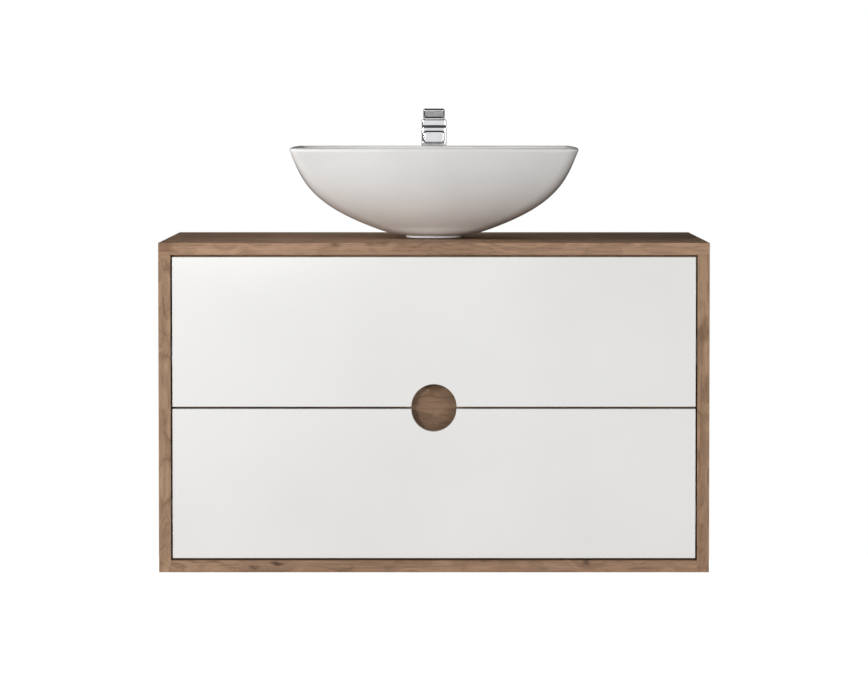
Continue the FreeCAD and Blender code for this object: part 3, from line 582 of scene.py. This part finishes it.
def circle_row(radius, z, pattern):
    """Circle whose points lie at the same turns as those of another row."""
    return [Vector((radius * math.cos(t), radius * math.sin(t), z))
            for t in [math.atan2(p.y / BASIN_B, p.x / BASIN_A) for p in pattern]]


def make_basin():
    """Glazed shell: foot, hull, rounded rim, bowl, seat of the waste and the drain hole."""
    rim_r = RIM_WALL / 2
    rim_z = BASIN_HIGH.z - rim_r
    foot_low = BASIN_LOW.z
    outer = shell_rows(FOOT_R + 3.5 * MM, SKIN_START, HULL_START, rim_z, 0.0)
    inner = shell_rows(DRAIN_SEAT_R + 1 * MM, BOWL_FLOOR, BOWL_START, rim_z, RIM_WALL)
    pattern = outer[-1]
    rim = []
    for i in range(1, RIM_STEPS):
        turn = math.pi * i / RIM_STEPS
        drawn_in = rim_r * (1 - math.cos(turn))
        lift = rim_r * math.sin(turn)
        rim.append([Vector((p.x, p.y, rim_z + lift)) for p in section(BASIN_A, 1.0, drawn_in)])
    foot = [circle_row(FOOT_RECESS_R, foot_low, pattern),
            circle_row(FOOT_R - 1.2 * MM, foot_low, pattern),
            circle_row(FOOT_R - 0.3 * MM, foot_low + 0.4 * MM, pattern),
            circle_row(FOOT_R, foot_low + 1.4 * MM, pattern),
            circle_row(FOOT_R, foot_low + 3.2 * MM, pattern),
            circle_row(FOOT_R + 0.8 * MM, foot_low + 4.3 * MM, pattern)]
    drain = [circle_row(DRAIN_SEAT_R, BOWL_FLOOR - 0.4 * MM, pattern),
             circle_row(DRAIN_SEAT_R, BOWL_FLOOR - SEAT_DEPTH, pattern),
             circle_row(DRAIN_R, BOWL_FLOOR - SEAT_DEPTH, pattern),
             circle_row(DRAIN_R, foot_low + FOOT_ROOF, pattern),
             circle_row(FOOT_RECESS_R, foot_low + FOOT_ROOF, pattern)]
    rows = foot + outer + rim + inner[::-1] + drain
    centre = Vector((BASIN_CENTRE.x, BASIN_CENTRE.y, 0))
    points = [centre + p for row in rows for p in row]
    mesh = mesh_from("basin_glazed", points, ring_faces(len(rows), len(pattern)))
    piece("basin_glazed", mesh, "ceramic", "carcass", ("basin",), smooth_angle=50)


# ------------------------------------------------------------------ trap

# Columns, scallops and the scallops' depth
NUT_RIBS = (160, 20, 1.3 * MM)
CUP_RIBS = (192, 24, 1.1 * MM)
NUT_R = 24 * MM
SOCKET_R = 20 * MM
WASTE_R = 21 * MM
TRAP_WALL = 2.5 * MM

# Turned pieces stand under the drain, or lie along the outlet with their height along +Y
STANDING = Matrix.Translation((0, BASIN_CENTRE.y, 0))
LYING = Matrix.Translation((0, 0, TRAP_Z)) @ Matrix.Rotation(-math.pi / 2, 4, "X")


def nut_profile(start, lip, end, outer, wide, close):
    """Ribbed coupling nut: wide bore up to its lip, chamfered at both ends."""
    way = 1 if end > start else -1
    soft = 1.2 * MM * way
    return [(wide, start, False), (outer - 1.6 * MM, start, False),
            (outer - 0.5 * MM, start + soft * 0.4, False), (outer, start + soft, True),
            (outer, start + (lip - start) * 0.5, True), (outer, lip - soft, True),
            (outer - 1.5 * MM, lip + soft * 0.4, False),
            (close + 3.4 * MM, end - soft * 0.6, False), (close + 2.6 * MM, end, False),
            (close, end, False), (close, lip, False), (wide, lip, False)]


def make_trap_nuts():
    close = TUBE_R + 0.3 * MM
    waste_low = low("waste_body").z
    neck_top = high("trap_body").z
    socket_end = high("trap_body").y
    inlet = nut_profile(waste_low + 16 * MM, waste_low - 3 * MM, waste_low - 12 * MM,
                        NUT_R + 2 * MM, WASTE_R, close)
    top = nut_profile(neck_top - 12 * MM, neck_top, neck_top + 6 * MM, NUT_R, SOCKET_R, close)
    outlet = nut_profile(socket_end - 16 * MM, socket_end, socket_end + 6 * MM, NUT_R, SOCKET_R, close)
    parts = [lathe("inlet_nut", inlet, STANDING, *NUT_RIBS),
             lathe("top_nut", top, STANDING, *NUT_RIBS),
             lathe("outlet_nut", outlet, LYING, *NUT_RIBS)]
    piece("trap_ribbed_nuts", joined("trap_ribbed_nuts", parts), "white_plastic", "carcass",
          ("trap_nuts",))


def make_trap_cup():
    """Cup with a grip band, a rounded sump and a raised ring under it."""
    cup_low = low("trap_cup").z
    join = low("trap_body").z
    cup_high = high("trap_cup").z
    r = high("trap_cup").x
    inner = r - 2 * TRAP_WALL
    profile = [(8 * MM, cup_low + 3 * MM, False), (inner - 3 * MM, cup_low + 3 * MM, False),
               (inner, cup_low + 6 * MM, False), (inner, cup_high, False), (r - TRAP_WALL, cup_high, False),
               (r - TRAP_WALL, join, False), (r - 0.6 * MM, join, False), (r, join - 0.8 * MM, True),
               (r, join - 9 * MM, True), (r, join - 18 * MM, True), (r - 1.5 * MM, join - 19 * MM, False),
               (r - 2.2 * MM, join - 30 * MM, False), (r - 4 * MM, cup_low + 8 * MM, False),
               (r - 7 * MM, cup_low + 3 * MM, False), (r - 12 * MM, cup_low + 0.6 * MM, False),
               (r - 14 * MM, cup_low, False), (14 * MM, cup_low, False), (12 * MM, cup_low + 1.2 * MM, False),
               (8 * MM, cup_low + 1.2 * MM, False)]
    shell = lathe("cup_shell", profile, STANDING, *CUP_RIBS)
    middle = [(0.2 * MM, cup_low + 3 * MM, False), (8 * MM, cup_low + 3 * MM, False),
              (8 * MM, cup_low + 1.2 * MM, False), (0.2 * MM, cup_low + 1.2 * MM, False)]
    plug = lathe("cup_middle", middle, STANDING, CUP_RIBS[0])
    piece("trap_ribbed_cup", joined("trap_ribbed_cup", [shell, plug]), "white_plastic", "carcass",
          ("trap_cup",))


# ------------------------------------------------------------------ runner balls

BALL_R = 1.2 * MM
BALL_PITCH = 6.5 * MM
CAGE_LENGTH = 0.150
CAGE_STRIP = (4.4 * MM, CAGE_LENGTH + 6 * MM, 0.5 * MM)
RUNNER_SHEET = 1.2 * MM


def ball_rows(drawer, body):
    """Balls and their cages between the rail and the middle channel of both sides."""
    middle_low, middle_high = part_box(drawer + "_runner_middles")
    rail_low, rail_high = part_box(drawer + "_runner_rails")
    ball_x = middle_high.x - 4 * MM
    start_y = middle_low.y + 30 * MM
    build = bmesh.new()
    for side in (-1, 1):
        for z in ((middle_high.z + rail_high.z - RUNNER_SHEET) / 2,
                  (middle_low.z + rail_low.z + RUNNER_SHEET) / 2):
            for i in range(int(CAGE_LENGTH / BALL_PITCH)):
                spot = Matrix.Translation((side * ball_x, start_y + i * BALL_PITCH, z))
                bmesh.ops.create_icosphere(build, subdivisions=2, radius=BALL_R, matrix=spot)
            strip = Matrix.Translation((side * ball_x, start_y + (CAGE_LENGTH - BALL_PITCH) / 2, z))
            bmesh.ops.create_cube(build, size=1.0, matrix=strip @ Matrix.Diagonal((*CAGE_STRIP, 1)))
    mesh = bpy.data.meshes.new(drawer + "_runner_balls")
    build.to_mesh(mesh)
    build.free()
    piece(drawer + "_runner_balls", mesh, "bearing_steel", body)


# ------------------------------------------------------------------ camera, light and floor

# Metres and degrees; the lens is in millimetres
CAMERA_DISTANCE = 5.91
CAMERA_RISE = 0.2475
CAMERA_PITCH = 2.0
CAMERA_SHIFT = -0.1496
CAMERA_LENS = 135.4


def make_camera():
    data = bpy.data.cameras.new("camera")
    data.lens = CAMERA_LENS
    data.sensor_width = 36
    data.shift_y = CAMERA_SHIFT
    data.clip_end = 2000
    camera = bpy.data.objects.new("camera", data)
    camera.location = (0, FRONT_Y - CAMERA_DISTANCE, TOP_Z + CAMERA_RISE)
    camera.rotation_euler = (math.radians(90 - CAMERA_PITCH), 0, 0)
    bpy.context.scene.collection.objects.link(camera)
    bpy.context.scene.camera = camera


def aimed_light(name, kind, place, aim, power):
    data = bpy.data.lights.new(name, kind)
    data.energy = power
    light = bpy.data.objects.new(name, data)
    light.location = place
    light.rotation_euler = (Vector(aim) - Vector(place)).to_track_quat("-Z", "Y").to_euler()
    bpy.context.scene.collection.objects.link(light)
    return light


def area_light(name, place, aim, size, power):
    light = aimed_light(name, "AREA", place, aim, power)
    light.data.shape = "RECTANGLE"
    light.data.size = size[0]
    light.data.size_y = size[1]
    return light


def spot_light(name, place, aim, cone, blend, power):
    """Beam of a given cone in degrees, left out of reflections."""
    light = aimed_light(name, "SPOT", place, aim, power)
    light.data.spot_size = math.radians(cone)
    light.data.spot_blend = blend
    light.data.shadow_soft_size = 0.05
    light.visible_glossy = False


FLOOR_DROP = 0.32
FLOOR_HALF = 1.3
FLOOR_BACK = 0.7
FLOOR_GLOW = 1.0


def make_floor():
    """Pale studio floor below the hung cabinet, as bright as the backdrop behind it."""
    mesh = bpy.data.meshes.new("studio_floor")
    corners = [(x * FLOOR_HALF, y * FLOOR_HALF + FLOOR_BACK, -FLOOR_DROP)
               for x, y in ((-1, -1), (1, -1), (1, 1), (-1, 1))]
    mesh.from_pydata(corners, [], [(0, 1, 2, 3)])
    floor = bpy.data.objects.new("studio_floor", mesh)
    g = Graph("studio_floor")
    tone = g.noise(g.stretched((0.8, 0.8, 0.8)), detail=2.0)
    g.set(Base_Color=g.ramp(tone, [(0.3, (0.90, 0.90, 0.90)), (0.7, (0.93, 0.93, 0.93))]), Roughness=0.9)
    g.shader.inputs["Emission Color"].default_value = rgb(1, 1, 1)
    g.shader.inputs["Emission Strength"].default_value = FLOOR_GLOW
    g.shader.inputs["Specular IOR Level"].default_value = 0.0
    mesh.materials.append(g.material)
    bpy.context.scene.collection.objects.link(floor)
    floor.visible_glossy = False


# Strength of the backdrop's light from each direction
WORLD_FRONT = 0.90
WORLD_SIDE = 0.08
WORLD_BACK = 0.10
WORLD_TOP = 0.03


def make_world():
    """White backdrop to the camera; its light comes mostly from low in front."""
    world = bpy.data.worlds.new("studio")
    world.use_nodes = True
    tree = world.node_tree
    background = tree.nodes["Background"]
    out = tree.nodes["World Output"]

    def fade(socket, low_in, high_in, low_out, high_out):
        made = tree.nodes.new("ShaderNodeMapRange")
        made.interpolation_type = "SMOOTHSTEP"
        tree.links.new(socket, made.inputs["Value"])
        limits = {"From Min": low_in, "From Max": high_in, "To Min": low_out, "To Max": high_out}
        for key, value in limits.items():
            if isinstance(value, bpy.types.NodeSocket):
                tree.links.new(value, made.inputs[key])
            else:
                made.inputs[key].default_value = value
        return made.outputs["Result"]

    place = tree.nodes.new("ShaderNodeTexCoord")
    split = tree.nodes.new("ShaderNodeSeparateXYZ")
    tree.links.new(place.outputs["Generated"], split.inputs[0])
    behind = fade(split.outputs["Y"], 0.1, 0.9, WORLD_SIDE, WORLD_BACK)
    around = fade(split.outputs["Y"], -0.97, -0.68, WORLD_FRONT, behind)
    strength = fade(split.outputs["Z"], 0.15, 0.75, around, WORLD_TOP)
    tree.links.new(strength, background.inputs["Strength"])
    seen = tree.nodes.new("ShaderNodeBackground")
    seen.inputs["Strength"].default_value = 1.0
    mixer = tree.nodes.new("ShaderNodeMixShader")
    path = tree.nodes.new("ShaderNodeLightPath")
    tree.links.new(path.outputs["Is Camera Ray"], mixer.inputs[0])
    tree.links.new(background.outputs[0], mixer.inputs[1])
    tree.links.new(seen.outputs[0], mixer.inputs[2])
    tree.links.new(mixer.outputs[0], out.inputs["Surface"])
    background.inputs["Color"].default_value = rgb(1, 1, 1)
    seen.inputs["Color"].default_value = rgb(1, 1, 1)
    bpy.context.scene.world = world


def make_lights():
    """Soft light from the front left; narrow beams keep the bowl bright and the worktop dark."""
    area_light("key_left", (-5.0, -1.5, 1.25), (0, -0.3, 0.55), (1.0, 0.8), 120)
    area_light("near_left", (-1.7, -1.0, 1.5), (0, -0.3, 0.6), (0.7, 0.5), 6)
    area_light("front_left", (-1.5, -5.8, 1.0), (0, -0.5, 0.4), (0.45, 0.45), 98)
    area_light("fill_front_right", (2.4, -4.2, 1.2), (0.2, -0.3, 0.45), (2.0, 1.4), 45)
    belly = area_light("belly_low", (0, -0.95, 1.0), (0, -0.42, 0.6), (1.1, 0.03), 0.03)
    belly.data.spread = math.radians(9)
    rim_z = BASIN_HIGH.z
    spot_light("bowl_side", (-2.4, -2.4, 0.95), (-0.25, -0.4, rim_z - 0.03), 10, 1.0, 95)
    spot_light("bowl_above", (0, BASIN_CENTRE.y, rim_z + 2.2), (0, BASIN_CENTRE.y, rim_z), 14, 0.2, 38)
    spot_light("bowl_rear", (0.35, 1.2, rim_z + 1.4), (0, -0.42, rim_z - 0.03), 9, 0.6, 55)
    back = area_light("back_rim", (0.5, 3.2, 2.6), (0, -0.2, 0.3), (2.4, 1.4), 20)
    back.visible_glossy = False


make_camera()
make_floor()
make_world()
make_lights()
bpy.context.scene.view_settings.view_transform = "Standard"

dress_cad_nodes()
for board in ("worktop", "bottom_panel", "side_panel_left", "side_panel_right", "grip_rail"):
    soften_edges(board, 0.5 * MM)
for board in ("upper_drawer_front", "lower_drawer_front"):
    soften_edges(board, 0.8 * MM, 3)
for board in ("upper_box_sides", "upper_box_front", "upper_box_backs", "plumbing_well_walls",
              "lower_box_sides", "lower_box_front", "lower_box_back"):
    soften_edges(board, 0.6 * MM)
for metal in ("tap_body", "tap_lever", "spacer_ring", "cabinet_hangers", "wall_plates"):
    soften_edges(metal, 0.35 * MM)
make_basin()
make_trap_nuts()
make_trap_cup()
ball_rows("upper", "upper_runner_mid")
ball_rows("lower", "lower_runner_mid")
